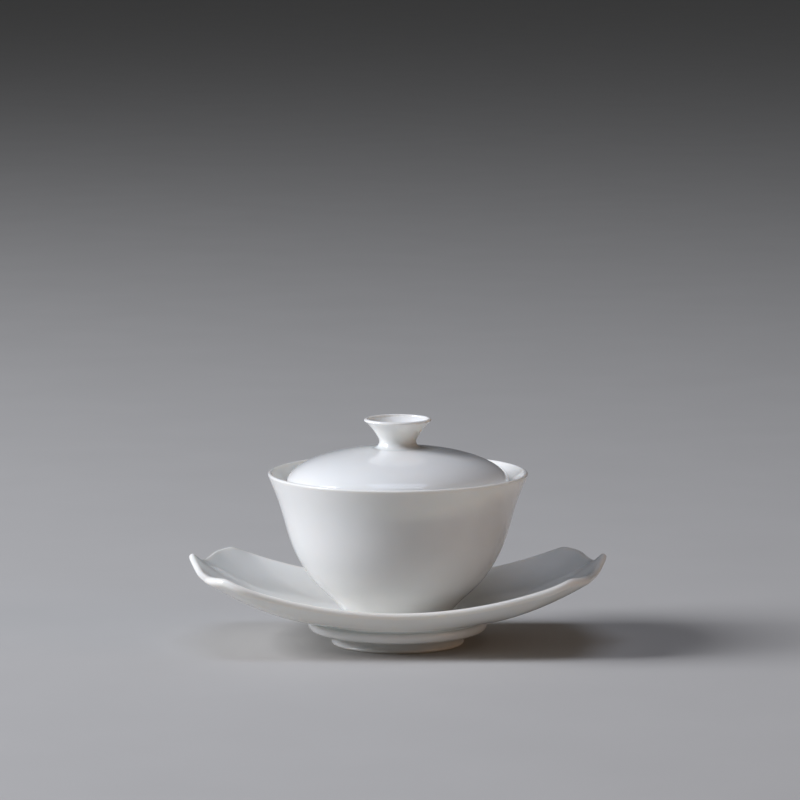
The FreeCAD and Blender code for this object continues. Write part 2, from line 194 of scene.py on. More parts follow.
# %% Battens and arcs
CAGE_STEP = 1.9       # distance between cage points along a batten


def batten(pins, step=CAGE_STEP):
    """Points along the smoothest line through the pins, from the first to the last."""
    pins = np.array(pins, float)
    spans = np.linalg.norm(np.diff(pins, axis=0), axis=1)
    count = len(pins)
    pull = np.eye(count)
    load = np.zeros_like(pins)
    for k in range(1, count - 1):
        pull[k, k - 1:k + 2] = spans[k - 1], 2 * (spans[k - 1] + spans[k]), spans[k]
        load[k] = 6 * ((pins[k + 1] - pins[k]) / spans[k] - (pins[k] - pins[k - 1]) / spans[k - 1])
    bend = np.linalg.solve(pull, load)
    found = []
    for k, span in enumerate(spans):
        steps = max(1, round(span / step))
        for part in range(steps):
            b = part / steps
            a = 1 - b
            sag = (a ** 3 - a) * bend[k] + (b ** 3 - b) * bend[k + 1]
            found.append(a * pins[k] + b * pins[k + 1] + sag * span ** 2 / 6)
    found.append(pins[-1])
    return [tuple(float(number) for number in point) for point in found]


def arc(middle_radius, middle_height, size, start, end, count):
    """Points round part of a circle, in degrees, both ends included."""
    found = []
    for k in range(count):
        turn = math.radians(start + (end - start) * k / (count - 1))
        found.append((middle_radius + size * math.cos(turn), middle_height + size * math.sin(turn)))
    return found


def mix(start, end, share):
    return start + (end - start) * share


def glazed(points, start, end=None):
    """The points with a glaze thickness that runs from start to end."""
    end = start if end is None else end
    last = max(len(points) - 1, 1)
    return [(r, z, mix(start, end, k / last)) for k, (r, z) in enumerate(points)]


# Thickness of the glaze, in millimetres.
BARE, WIPED, THIN, EVEN, DEEP, POOLED = 0.0, 0.08, 0.10, 0.28, 0.40, 0.62

# %% [markdown]
# ## The bowl
#
# The bowl is bell-shaped: a small foot, a full round belly and a mouth that flares a little. Its wall
# is 2.5 mm at the base and thins to 1.4 mm at the lip, which is what makes good porcelain feel light.
# The line starts under the base, goes down inside the foot, over the land that it stands on, up the
# outside, round the lip and down the inside to the middle of the floor.
#
# The corner above the foot isn't sharp, because glaze fills it. The line leaves the foot a little early
# and joins the belly a little late, which makes that cove.

# %% The bowl's line
BOWL_FOOT_RADIUS, BOWL_FOOT_HEIGHT, BOWL_FOOT_WALL = 19.4, 3.1, 2.6
BOWL_FOOT_ROUND, BOWL_FOOT_RECESS = 0.6, 2.0
BOWL_WALLS = (2.5, 1.9, 1.4)          # at the base, halfway up the belly, and at the lip
LIP_ROUND = BOWL_WALLS[2] / 2
FLOOR_REACH = 1.3                     # height above the floor where the belly's inner line lets go of it
LAND_POINTS, LIP_POINTS = 4, 8        # points round each edge of the foot's land, and round the lip
# Share of the height, and share of the growth from the foot's radius to the lip's.
BELL = [(0.0, 0.0), (0.10, 0.175), (0.22, 0.400), (0.35, 0.565), (0.46, 0.668),
        (0.63, 0.771), (0.81, 0.867), (0.925, 0.947), (1.0, 1.0)]

base = bowl_low.z
belly_low, belly_high = base + BOWL_FOOT_HEIGHT, bowl_high.z - LIP_ROUND
bell = batten([(mix(BOWL_FOOT_RADIUS, BOWL_RIM_RADIUS, wide), mix(belly_low, belly_high, high))
               for high, wide in BELL])


def inset(line, walls):
    """The line moved in by a wall that changes from the first value to the last."""
    found = []
    last = len(line) - 1
    for k, (radius, height) in enumerate(line):
        (r0, z0), (r1, z1) = line[max(k - 1, 0)], line[min(k + 1, last)]
        along = math.hypot(r1 - r0, z1 - z0)
        way = 2 * k / last
        wall = mix(walls[0], walls[1], way) if way < 1 else mix(walls[1], walls[2], way - 1)
        found.append((radius - (z1 - z0) / along * wall, height + (r1 - r0) / along * wall))
    return found


inner_foot = BOWL_FOOT_RADIUS - BOWL_FOOT_WALL
recess = base + BOWL_FOOT_RECESS
floor = recess + BOWL_WALLS[0]
inside = [point for point in inset(bell, BOWL_WALLS) if point[1] > floor + FLOOR_REACH][:-1]
land = base + BOWL_FOOT_ROUND

bowl_line = glazed([(radius, recess) for radius in (AXIS_RING, 5.0, 9.0, 12.5, 14.8)], EVEN)
bowl_line += glazed([(16.0, recess - 0.10), (16.55, recess - 0.45), (inner_foot, recess - 1.0)],
                    POOLED, THIN)
bowl_line += glazed(arc(inner_foot + BOWL_FOOT_ROUND, land, BOWL_FOOT_ROUND, 180, 270, LAND_POINTS), BARE)
bowl_line += glazed([(mix(inner_foot, BOWL_FOOT_RADIUS, 0.5), base)], BARE)
bowl_line += glazed(arc(BOWL_FOOT_RADIUS - BOWL_FOOT_ROUND, land, BOWL_FOOT_ROUND, 270, 360, LAND_POINTS),
                    BARE)
bowl_line += glazed([(BOWL_FOOT_RADIUS, base + 1.3), (BOWL_FOOT_RADIUS, base + 2.0)], THIN, EVEN)
bowl_line += glazed([(BOWL_FOOT_RADIUS + 0.08, base + 2.6), (BOWL_FOOT_RADIUS + 0.40, base + 3.25),
                     (BOWL_FOOT_RADIUS + 1.05, base + 4.05)], POOLED)
bowl_line += glazed(bell[2:-1], EVEN)
bowl_line += glazed(arc(BOWL_RIM_RADIUS - LIP_ROUND, bowl_high.z - LIP_ROUND, LIP_ROUND,
                        -12, 180, LIP_POINTS), THIN)
bowl_line += glazed(inside[::-1], EVEN)
bowl_line += glazed([(13.6, floor + 0.75), (10.7, floor + 0.33), (7.2, floor + 0.14), (3.8, floor + 0.03),
                     (AXIS_RING, floor)], EVEN, DEEP)

print("the bowl's line has", len(bowl_line), "points, and its floor is", round(floor - base, 2), "mm up")

# %% Turn the bowl
bowl_piece = turned("tea_bowl", bowl_line)
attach(bowl_piece, "bowl")
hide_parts("bowl")

# %% [markdown]
# ## The lid
#
# The lid is a low dome on a short skirt that sits down inside the bowl's mouth, so the bowl's lip stands
# round it like a collar. The dome is a quarter of an ellipse turned round, and the skirt runs on from it
# nearly straight. Its top is flat under the knob, where nobody sees it.

# %% The lid's line
LID_WALL, LID_SKIRT_HEIGHT, LID_SKIRT_FLARE, LID_DOME_HEIGHT = 2.0, 7.7, 0.9, 13.4
KNOB_BASE_RADIUS = 8.6
DOME_POINTS = 26
EDGE_POINTS = 9                       # points round the skirt's edge

edge_round = LID_WALL / 2
shoulder = lid_low.z + LID_SKIRT_HEIGHT
dome_radius = LID_EDGE_RADIUS - LID_SKIRT_FLARE
dome_top = shoulder + LID_DOME_HEIGHT


def dome(wall, last_radius):
    """Points from the shoulder to a radius near the top, this far inside the dome's surface."""
    wide, high = dome_radius - wall, LID_DOME_HEIGHT - wall
    last = math.acos(last_radius / wide)
    turns = [last * k / DOME_POINTS for k in range(DOME_POINTS + 1)]
    return [(wide * math.cos(turn), shoulder + high * math.sin(turn)) for turn in turns]


def skirt(wall):
    """Points up the skirt, from above the edge's round to below the shoulder."""
    rise = LID_SKIRT_HEIGHT - edge_round
    return [(LID_EDGE_RADIUS - wall - LID_SKIRT_FLARE * share, lid_low.z + edge_round + rise * share)
            for share in (0.12, 0.3, 0.5, 0.7, 0.88)]


under_knob = lid_high.z - 0.25
lid_line = glazed([(radius, under_knob) for radius in (AXIS_RING, 4.0, 7.0)], EVEN)
lid_line += glazed(dome(0.0, KNOB_BASE_RADIUS - 0.3)[::-1], EVEN)
lid_line += glazed(skirt(0.0)[::-1], EVEN)
lid_line += glazed(arc(LID_EDGE_RADIUS - edge_round, lid_low.z + edge_round, edge_round, 0, -180,
                       EDGE_POINTS), THIN)
lid_line += glazed(skirt(LID_WALL), EVEN)
lid_line += glazed(dome(LID_WALL, 5.0), EVEN)
lid_line += glazed([(AXIS_RING, dome_top - LID_WALL)], EVEN)

print("the lid's shoulder is at", round(shoulder, 2), "and its dome's top at", round(dome_top, 2), "mm")

# %% Turn the lid
lid_piece = turned("lid_cap", lid_line)
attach(lid_piece, "lid")
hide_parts("lid")

# %% [markdown]
# ## The knob
#
# The knob is a little flared cup that the potter turns apart and joins to the dome with slip. It has a
# narrow waist to hold and a dish in its top, which a fingertip keeps down while pouring. Where it meets
# the dome the slip and the glaze leave a soft cove, so the line runs out flat onto the dome.

# %% The knob's line
KNOB_LIP_RADIUS, KNOB_NECK_RADIUS, KNOB_LIP_ROUND = 12.3, 6.75, 0.75
KNOB_NECK_HEIGHT, KNOB_DISH_DEPTH, KNOB_DISH_RADIUS = 1.75, 6.2, 3.6
KNOB_STEP = 0.9                       # distance between cage points, finer than on the larger pieces
WAIST_COAT, DISH_COAT = 0.45, 0.5     # glaze gathers a little round the waist and in the dish


def dome_height(radius):
    return shoulder + LID_DOME_HEIGHT * math.sqrt(1 - (radius / dome_radius) ** 2)


neck = dome_top + KNOB_NECK_HEIGHT
lip = knob_high.z - KNOB_LIP_ROUND
knob_foot = dome_height(KNOB_BASE_RADIUS)
dish = knob_high.z - KNOB_DISH_DEPTH
waist = batten([(7.53, mix(knob_foot, neck, 0.30)), (KNOB_NECK_RADIUS, neck),
                (mix(KNOB_NECK_RADIUS, KNOB_LIP_RADIUS, 0.16), mix(neck, lip, 0.30)),
                (mix(KNOB_NECK_RADIUS, KNOB_LIP_RADIUS, 0.46), mix(neck, lip, 0.61)),
                (KNOB_LIP_RADIUS, lip)], step=KNOB_STEP)
inner_lip = KNOB_LIP_RADIUS - 2 * KNOB_LIP_ROUND
hollow = batten([(inner_lip, lip), (mix(KNOB_DISH_RADIUS, inner_lip, 0.42), mix(dish, lip, 0.40)),
                 (KNOB_DISH_RADIUS, mix(dish, lip, 0.06)), (AXIS_RING, dish)], step=KNOB_STEP)

seat = knob_low.z + 0.1
knob_line = glazed([(radius, seat) for radius in (AXIS_RING, 4.5, 7.4)], EVEN)
knob_line += glazed([(9.3, dome_height(9.3) - 0.30), (9.5, dome_height(9.5) - 0.06),
                     (9.1, dome_height(9.1) + 0.03), (8.45, knob_foot + 0.12)], POOLED)
knob_line += glazed(waist[:-1], WAIST_COAT, EVEN)
knob_line += glazed(arc(KNOB_LIP_RADIUS - KNOB_LIP_ROUND, lip, KNOB_LIP_ROUND, -15, 180, LIP_POINTS), THIN)
knob_line += glazed(hollow[1:], EVEN, DISH_COAT)

print("the knob's waist is at", round(neck, 2), "and its lip at", round(knob_high.z, 2), "mm")

# %% Turn the knob
knob_piece = turned("knob_button", knob_line)
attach(knob_piece, "lid")
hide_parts("lid_knob")

# %% [markdown]
# ## The saucer's plate
#
# The saucer is the one piece that isn't round. It is pressed in a mould: a boat with straight sides,
# rounded corners and two ends that rise and run out to a soft point. In its middle is a round well for
# the bowl's foot, and under it a round step.
#
# So its outline is drawn first, seen from above, as points spaced evenly round the edge. Then a spoke is
# drawn through each of those points: up out of the well, over the plate, round the rim and back below to
# the step. All spokes have the same number of points, so the rings that join them fit the same skin()
# that made the bowl.

# %% The saucer's outline
SAUCER_LENGTH, SAUCER_WIDTH = 153.1, 81.0      # the length before the points are rounded off
CORNER_RADIUS, CORNER_TO_TIP = 16.0, 22.7
END_SLANT, TIP_SLANT = 0.20, 0.36
END_FULLNESS, TIP_FULLNESS = 0.35, 0.26
SPOKES_PER_QUARTER = 28
SIDE_STEPS, CORNER_STEPS, END_STEPS = 40, 30, 60    # of the fine polyline that is spaced out afterwards

half_length, half_width = SAUCER_LENGTH / 2, SAUCER_WIDTH / 2
corner_x = half_length - CORNER_TO_TIP


def quarter_line():
    """A fine polyline from halfway along a side, round the corner, to the tip."""
    slope = Vector((END_SLANT, -1, 0)).normalized()
    facing = math.degrees(math.atan2(slope.x, -slope.y))
    points = [Vector((corner_x * k / SIDE_STEPS, half_width, 0)) for k in range(SIDE_STEPS + 1)]
    for k in range(1, CORNER_STEPS + 1):
        turn = math.radians(90 + (facing - 90) * k / CORNER_STEPS)
        points.append(Vector((corner_x + CORNER_RADIUS * math.cos(turn),
                              half_width - CORNER_RADIUS * (1 - math.sin(turn)), 0)))
    start, tip = points[-1], Vector((half_length, 0, 0))
    reach = start.y
    pull_out = start + Vector((END_SLANT, -1, 0)) * (END_FULLNESS * reach)
    pull_in = tip + Vector((-TIP_SLANT, 1, 0)) * (TIP_FULLNESS * reach)
    for k in range(1, END_STEPS + 1):
        b = k / END_STEPS
        a = 1 - b
        points.append(start * a ** 3 + pull_out * (3 * a * a * b)
                      + pull_in * (3 * a * b * b) + tip * b ** 3)
    return points


def evenly(points, count):
    """Points the same distance apart along a polyline, both ends included."""
    lengths = [0.0]
    for before, after in zip(points, points[1:]):
        lengths.append(lengths[-1] + (after - before).length)
    wanted = np.linspace(0, lengths[-1], count)
    columns = [np.interp(wanted, lengths, [point[axis] for point in points]) for axis in range(3)]
    return [Vector(column) for column in zip(*columns)]


quarter = evenly(quarter_line(), SPOKES_PER_QUARTER + 1)[::-1]
half = quarter + [Vector((-p.x, p.y, 0)) for p in reversed(quarter[:-1])]
outline = half + [Vector((p.x, -p.y, 0)) for p in reversed(half[1:-1])]
print("the saucer has", len(outline), "spokes")

# %% [markdown]
# The plate bends two ways. Along the saucer it sweeps up late, like a skate; across it turns up near
# the rim. The rim itself climbs along the sides, dips a little on each end and lifts again into the tip.

# %% The saucer's heights
UP = Vector((0, 0, 1))
SIDE_HEIGHT, SIDE_RISE, LEVEL_TO_TIP = 17.6, 12.1, 14.0
TIP_HEIGHT, DIP_HEIGHT, DIP_HALF_WIDTH = 33.2, 28.6, 16.0
FLOOR_RISE, SWEEP_RISE, SWEEP, DISH = 4.2, 20.6, 2.3, 2.4
RIM_ROUND, CORNER_ROUND, CORNER_SPREAD, RIM_LEAN = 1.25, 1.60, 26.0, 52.0
STEP_RADIUS, STEP_HEIGHT = 32.8, 4.3
WELL_THICKNESS, WELL_CLEARANCE = 3.8, 1.9     # plate left under the well, and space round the bowl's foot
SKIN_PAST_WELL, SKIN_IN_STEP = 5.3, 1.3       # how far past the well and the step its curves aim
WELL_RADIUS = BOWL_FOOT_RADIUS + WELL_CLEARANCE

step_bottom = tray_low.z
step_top = step_bottom + STEP_HEIGHT
well_floor = step_bottom + WELL_THICKNESS
plate_floor = step_bottom + FLOOR_RISE
inner_circle = WELL_RADIUS - SKIN_PAST_WELL
under_circle = STEP_RADIUS - SKIN_IN_STEP


def centre_height(x):
    return plate_floor + SWEEP_RISE * (abs(x) / half_length) ** SWEEP


def smooth_step(share):
    share = min(max(share, 0), 1)
    return share * share * (3 - 2 * share)


def edge_height(point):
    across = abs(point.y)
    along = min(abs(point.x) / (half_length - LEVEL_TO_TIP), 1)
    side = SIDE_HEIGHT + SIDE_RISE * along ** 2
    beak = max(1 - across / DIP_HALF_WIDTH, 0) ** 2
    end = mix(DIP_HEIGHT, TIP_HEIGHT, beak)
    return mix(end, side, smooth_step((across - DIP_HALF_WIDTH) / (half_width - DIP_HALF_WIDTH)))


def rim_round(point):
    """Radius of the rounded rim, which is thicker at the corners."""
    corner = Vector((corner_x + CORNER_RADIUS * math.sqrt(0.5),
                     half_width - CORNER_RADIUS * (1 - math.sqrt(0.5))))
    away = (Vector((abs(point.x), abs(point.y))) - corner).length
    return mix(CORNER_ROUND, RIM_ROUND, smooth_step(away / CORNER_SPREAD))


# Where the rows lie: shares of the way in from the rim to the well, degrees round the rim, and shares of
# the way back in below the plate.
TOP_SHARES = (0.97, 0.92, 0.84, 0.74, 0.63, 0.52, 0.42, 0.33, 0.24, 0.16, 0.09, 0.035)
RIM_DEGREES = (180 - RIM_LEAN, 95, 60, 25, -10, -RIM_LEAN)
UNDER_SHARES = (0.06, 0.16, 0.30, 0.46, 0.62, 0.76, 0.88, 0.96)
WELL_EDGE = WELL_RADIUS + 1.1        # where the plate starts to turn down into the well
STEP_EDGE = STEP_RADIUS + 0.9        # where the underside starts to turn down to the step
# The turn down into the well: radius, and share of its depth.
WELL_ROWS = ((22.05, 0.97), (21.65, 0.82), (21.25, 0.50), (20.85, 0.18), (20.45, 0.03), (19.6, 0.0),
             (17.5, 0.0), (13.0, 0.0), (8.0, 0.0), (4.0, 0.0), (AXIS_RING, 0.0))
# The crease above the step and the step's own line: radius, height above the step's bottom, glaze.
STEP_ROWS = ((32.85, 4.42, POOLED), (32.2, 4.22, POOLED), (31.92, 3.98, POOLED), (32.08, 3.70, POOLED),
             (32.45, 3.36, DEEP), (32.72, 2.92, EVEN), (32.8, 2.35, EVEN), (32.78, 1.75, EVEN),
             (32.58, 1.05, EVEN), (32.15, 0.48, EVEN), (31.45, 0.10, EVEN), (30.5, 0.0, EVEN),
             (28.5, 0.0, EVEN), (26.0, 0.0, DEEP), (24.0, 0.0, POOLED), (20.0, 0.0, POOLED),
             (17.0, 0.0, EVEN), (12.0, 0.0, EVEN), (7.0, 0.0, EVEN), (3.5, 0.0, EVEN),
             (AXIS_RING, 0.0, EVEN))

print("the well's floor is at", round(well_floor, 2), "mm and", round(2 * WELL_RADIUS, 1), "mm across")


def spoke(point, inward):
    """Places along one section of the plate: out over its upper face, round the rim, back in below."""
    lean = math.radians(RIM_LEAN)
    size = rim_round(point)
    rim = point + inward * size + UP * (edge_height(point) - size)
    across = (inward * math.cos(lean) + UP * math.sin(lean)) * size
    top_start, under_start = rim + across, rim - across
    way = point.normalized()
    span = point.length - inner_circle
    overhang = 2 * size * math.cos(lean) / span
    under_share = (point.length - under_circle) / span
    turn_up = top_start.z - centre_height(top_start.x)

    def height(x, share):
        return centre_height(x) + turn_up * (1 - share) ** DISH

    to_well = (top_start.xy.length - WELL_EDGE) / (top_start.xy.length - inner_circle)
    places = []
    for share in TOP_SHARES:
        place = top_start.lerp(way * inner_circle, share * to_well)
        places.append(Vector((place.x, place.y, height(place.x, share * to_well))))
    for degrees in RIM_DEGREES:
        turn = math.radians(degrees)
        places.append(rim + (inward * -math.cos(turn) + UP * math.sin(turn)) * size)
    rim_wall = height(under_start.x, -overhang) - under_start.z
    step_wall = height((way * under_circle).x, under_share) - step_top
    to_step = (under_start.xy.length - STEP_EDGE) / (under_start.xy.length - under_circle)
    for share in UNDER_SHARES:
        place = under_start.lerp(way * under_circle, share * to_step)
        upper = height(place.x, mix(-overhang, under_share, share * to_step))
        places.append(Vector((place.x, place.y, upper - mix(rim_wall, step_wall, share * to_step))))
    return places


# %% [markdown]
# Spokes that point at a corner reach further and higher than their neighbours, and left alone they would
# draw a crease from each corner to the well. A presser's thumb smooths that away, and eased() does the
# same: it averages the heights of a ring between neighbours, often near the well and never on the rim.

# %% Ease the plate
# How many times each ring's heights are averaged, from the well out, and from the rim back in below.
TOP_EASING = (24, 24, 24, 22, 18, 16, 12, 9, 6, 4, 2, 1)
UNDER_EASING = (1, 4, 8, 14, 18, 22, 24, 24)


def eased(ring, passes):
    """The ring with its height above the centre line's curve averaged between neighbours."""
    extra = np.array([point.z - centre_height(point.x) for point in ring])
    for _ in range(passes):
        extra = (np.roll(extra, 1) + 2 * extra + np.roll(extra, -1)) / 4
    return [Vector((point.x, point.y, centre_height(point.x) + more)) for point, more in zip(ring, extra)]


spokes = []
for index, point in enumerate(outline):
    along = outline[(index + 1) % len(outline)] - outline[index - 1]
    spokes.append(spoke(point, Vector((-along.y, along.x, 0)).normalized()))
passes = TOP_EASING + (0,) * len(RIM_DEGREES) + UNDER_EASING
plate_rings = [eased(ring, times) for ring, times in zip(zip(*spokes), passes)]

print("each spoke has", len(plate_rings), "points over the plate")

# %% Press the saucer
ways = [point.normalized() for point in outline]
well_rings = [[way * radius + UP * mix(well_floor, brim.z, share)
               for way, brim in zip(ways, plate_rings[0])] for radius, share in WELL_ROWS]
step_rings = [[way * radius + UP * (step_bottom + height) for way in ways]
              for radius, height, _ in STEP_ROWS]
saucer_rings = well_rings[::-1] + plate_rings + step_rings
saucer_coat = [POOLED if 0 < share < 0.6 else EVEN for _, share in reversed(WELL_ROWS)]
saucer_coat += [EVEN] * len(TOP_SHARES) + [THIN] * len(RIM_DEGREES) + [EVEN] * len(UNDER_SHARES)
saucer_coat += [coat for _, _, coat in STEP_ROWS]
plate_piece = skin("saucer_plate", saucer_rings, saucer_coat)
print("saucer_plate has", len(saucer_rings), "rings")
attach(plate_piece, "saucer")
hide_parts("saucer_tray")

# %% [markdown]
# ## The saucer's foot ring
#
# The saucer stands on a ring that is thrown apart and joined on with slip. It leans in a little towards
# the top and flows into the step with a cove of glaze. The land that touches the table is wiped clean
# before firing, or the glaze would stick to the kiln shelf, so the bare biscuit shows there.

# %% Turn the foot ring
FOOT_RADIUS, FOOT_TAPER, FOOT_WALL, FOOT_LAND_ROUND = 24.3, 1.4, 3.4, 0.9
FOOT_LAND_POINTS = 5                  # points round each edge of its land

ring_low, ring_high = foot_low.z, foot_high.z
ring_inner = FOOT_RADIUS - FOOT_WALL - FOOT_TAPER
ring_line = glazed([(19.8, ring_high + 0.06), (22.4, ring_high + 0.06)], EVEN)
ring_line += glazed([(24.05, ring_high + 0.02), (23.5, ring_high - 0.14), (23.06, ring_high - 0.55)],
                    POOLED)
ring_line += glazed([(22.98, ring_high - 1.15), (23.12, 3.0), (23.42, 2.25), (23.82, 1.6)], EVEN)
ring_line += glazed([(24.16, 1.15)], THIN)
ring_line += glazed(arc(FOOT_RADIUS - FOOT_LAND_ROUND, ring_low + FOOT_LAND_ROUND, FOOT_LAND_ROUND,
                        -12, -90, FOOT_LAND_POINTS), WIPED, BARE)
ring_line += glazed([(22.6, ring_low), (21.2, ring_low)], BARE)
ring_line += glazed(arc(ring_inner + FOOT_LAND_ROUND, ring_low + FOOT_LAND_ROUND, FOOT_LAND_ROUND,
                        270, 180, FOOT_LAND_POINTS), BARE, WIPED)
ring_line += glazed([(ring_inner, 1.7), (ring_inner, 2.6), (ring_inner, 3.5)], THIN, EVEN)
ring_line += glazed([(ring_inner - 0.06, 4.2), (ring_inner - 0.35, 4.72), (ring_inner - 0.9, ring_high)],
                    POOLED)
ring_piece = turned("saucer_foot", ring_line, closed_line=True)
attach(ring_piece, "saucer")
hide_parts("saucer_foot_ring")

# %% [markdown]
# ## Colours and nodes
#
# Colours are easiest to pick as the hex values that a paint chart gives, which are sRGB. Blender's
# sockets want linear light, so one function turns them. Another small one adds a node, sets it up and
# links it, so that a material reads as a short list.

# %% Colour and node helpers
def colour(hex_value):
    """Linear RGBA of an sRGB hex value."""
    channels = [int(hex_value[k:k + 2], 16) / 255 for k in (1, 3, 5)]
    return (*(c / 12.92 if c <= 0.04045 else ((c + 0.055) / 1.055) ** 2.4 for c in channels), 1)


def add(tree, kind, inputs=None, **settings):
    """Adds a node. settings are its own, and inputs gives each socket a value or another node's socket."""
    node = tree.nodes.new(kind)
    for name, value in settings.items():
        setattr(node, name, value)
    for name, value in (inputs or {}).items():
        if isinstance(value, bpy.types.NodeSocket):
            tree.links.new(value, node.inputs[name])
        else:
            node.inputs[name].default_value = value
    return node


def per_metre(millimetres):
    """The texture scale that gives a pattern of this size."""
    return 1000 / millimetres


# %% [markdown]
# ## Glazed porcelain
#
# The body is white because it is nearly pure kaolin, and it lets a little light in, which softens the
# edge of every shadow. Over it lies about a quarter of a millimetre of clear glaze, a glass with an IOR
# of 1.5, fired glossy. It does four things to the eye:
#
# - it reflects the window sharply, with a slow waver, because it never lies quite flat;
# - where it pools, in a corner or a cove, the faint iron in it shows as a cool grey green;
# - on a lip it runs thin and the warmer body shows through;
# - where it was wiped off, the biscuit is matt, fine-grained and a little creamy.
#
# All four follow from the glaze attribute, so one function makes the material for every piece. The waver
# is drawn 14 mm long and the orange peel 1.6 mm, about what they measure. Biscuit grain is finer than
# 0.1 mm, so it is drawn at 0.5 mm to show at all.

# %% Porcelain
GLAZE_IOR = 1.5
WAVER_MM, PEEL_MM, CLOUD_MM, SPECK_MM, GRAIN_MM, UNEVEN_MM = 14, 1.6, 30, 9, 0.5, 4
PEEL_DEPTH, GRAIN_DEPTH = 0.0012, 0.03
LIGHT_DEPTH_MM = 1.8                 # how far light travels inside the body
SPECK_COLOUR, SPECK_CHANCE = "#8C7B66", 1 / 16
BISCUIT_ROUGHNESS = 0.78
FIRST, SECOND, MIXED = 6, 7, 2       # the colour sockets of a Mix node, which share their names


def porcelain(name, white, cool, warm, biscuit, gloss, waver):
    """Glazed porcelain. gloss is its roughness, and waver how deep its slow waves are, in millimetres."""
    material = bpy.data.materials.new(name)
    material.use_nodes = True
    tree = material.node_tree
    tree.nodes.clear()
    place = add(tree, "ShaderNodeTexCoord").outputs["Object"]
    laid = add(tree, "ShaderNodeAttribute", attribute_name="glaze").outputs["Fac"]

    # The glaze is never quite as even as it was meant to be.
    uneven = add(tree, "ShaderNodeTexNoise", {"Vector": place, "Scale": per_metre(UNEVEN_MM), "Detail": 2})
    spread = add(tree, "ShaderNodeMapRange",
                 {"Value": uneven.outputs["Fac"], "From Min": 0.3, "From Max": 0.7,
                  "To Min": -0.03, "To Max": 0.03}).outputs["Result"]
    thickness = add(tree, "ShaderNodeMath", {0: laid, 1: spread}, operation="ADD").outputs[0]
    pooled = add(tree, "ShaderNodeMapRange",
                 {"Value": thickness, "From Min": 0.30, "From Max": 0.70, "To Min": 0.0, "To Max": 0.75},
                 interpolation_type="SMOOTHSTEP").outputs["Result"]
    thin = add(tree, "ShaderNodeMapRange",
               {"Value": thickness, "From Min": 0.22, "From Max": 0.08, "To Min": 0.0, "To Max": 0.5},
               interpolation_type="SMOOTHSTEP").outputs["Result"]
    bare = add(tree, "ShaderNodeMapRange",
               {"Value": thickness, "From Min": 0.055, "From Max": 0.025, "To Min": 0.0, "To Max": 1.0},
               interpolation_type="SMOOTHSTEP").outputs["Result"]

    # Colour: a barely clouded white, cooler where the glaze pools, warmer where it runs thin.
    clouds = add(tree, "ShaderNodeTexNoise", {"Vector": place, "Scale": per_metre(CLOUD_MM), "Detail": 3})
    shade = add(tree, "ShaderNodeMapRange",
                {"Value": clouds.outputs["Fac"], "From Min": 0.35, "From Max": 0.65,
                 "To Min": 0.0, "To Max": 0.22})
    tint = add(tree, "ShaderNodeMix",
               {0: shade.outputs["Result"], FIRST: colour(white), SECOND: colour(cool)}, data_type="RGBA")
    for share, hue in ((pooled, cool), (thin, warm), (bare, biscuit)):
        tint = add(tree, "ShaderNodeMix", {0: share, FIRST: tint.outputs[MIXED], SECOND: colour(hue)},
                   data_type="RGBA")

    # A few iron specks, each in a cell of its own. One cell in sixteen has a speck.
    cells = add(tree, "ShaderNodeTexVoronoi", {"Vector": place, "Scale": per_metre(SPECK_MM)})
    chance = add(tree, "ShaderNodeSeparateColor", {"Color": cells.outputs["Color"]}).outputs["Red"]
    chosen = add(tree, "ShaderNodeMath", {0: chance, 1: 1 - SPECK_CHANCE},
                 operation="GREATER_THAN").outputs[0]
    dot = add(tree, "ShaderNodeMapRange",
              {"Value": cells.outputs["Distance"], "From Min": 0.032, "From Max": 0.016,
               "To Min": 0.0, "To Max": 0.35}).outputs["Result"]
    speck = add(tree, "ShaderNodeMath", {0: chosen, 1: dot}, operation="MULTIPLY").outputs[0]
    tint = add(tree, "ShaderNodeMix", {0: speck, FIRST: tint.outputs[MIXED], SECOND: colour(SPECK_COLOUR)},
               data_type="RGBA")

    # Gloss: the glaze is smooth, with slightly duller patches, and the biscuit is matt.
    dull = add(tree, "ShaderNodeMapRange",
               {"Value": clouds.outputs["Fac"], "From Min": 0.3, "From Max": 0.7,
                "To Min": gloss * 0.8, "To Max": gloss * 1.3}).outputs["Result"]
    rough = add(tree, "ShaderNodeMix", {0: bare, 2: dull, 3: BISCUIT_ROUGHNESS},
                data_type="FLOAT").outputs[0]

    # Relief: slow waves and orange peel in the glaze, grain in the biscuit.
    waves = add(tree, "ShaderNodeTexNoise", {"Vector": place, "Scale": per_metre(WAVER_MM), "Detail": 0})
    relief = add(tree, "ShaderNodeBump",
                 {"Height": waves.outputs["Fac"], "Distance": waver * MM, "Strength": 1.0})
    peel = add(tree, "ShaderNodeTexNoise", {"Vector": place, "Scale": per_metre(PEEL_MM), "Detail": 1})
    relief = add(tree, "ShaderNodeBump", {"Height": peel.outputs["Fac"], "Distance": PEEL_DEPTH * MM,
                                          "Strength": 1.0, "Normal": relief.outputs["Normal"]})
    grain = add(tree, "ShaderNodeTexNoise", {"Vector": place, "Scale": per_metre(GRAIN_MM), "Detail": 3})
    relief = add(tree, "ShaderNodeBump", {"Height": grain.outputs["Fac"], "Distance": GRAIN_DEPTH * MM,
                                          "Strength": bare, "Normal": relief.outputs["Normal"]})

    surface = add(tree, "ShaderNodeBsdfPrincipled",
                  {"Base Color": tint.outputs[MIXED], "Roughness": rough, "IOR": GLAZE_IOR,
                   "Normal": relief.outputs["Normal"], "Subsurface Weight": 0.7,
                   "Subsurface Radius": (1.0, 0.93, 0.86), "Subsurface Scale": LIGHT_DEPTH_MM * MM})
    add(tree, "ShaderNodeOutputMaterial", {"Surface": surface.outputs["BSDF"]})
    print(name, "has", len(tree.nodes), "nodes")
    return material


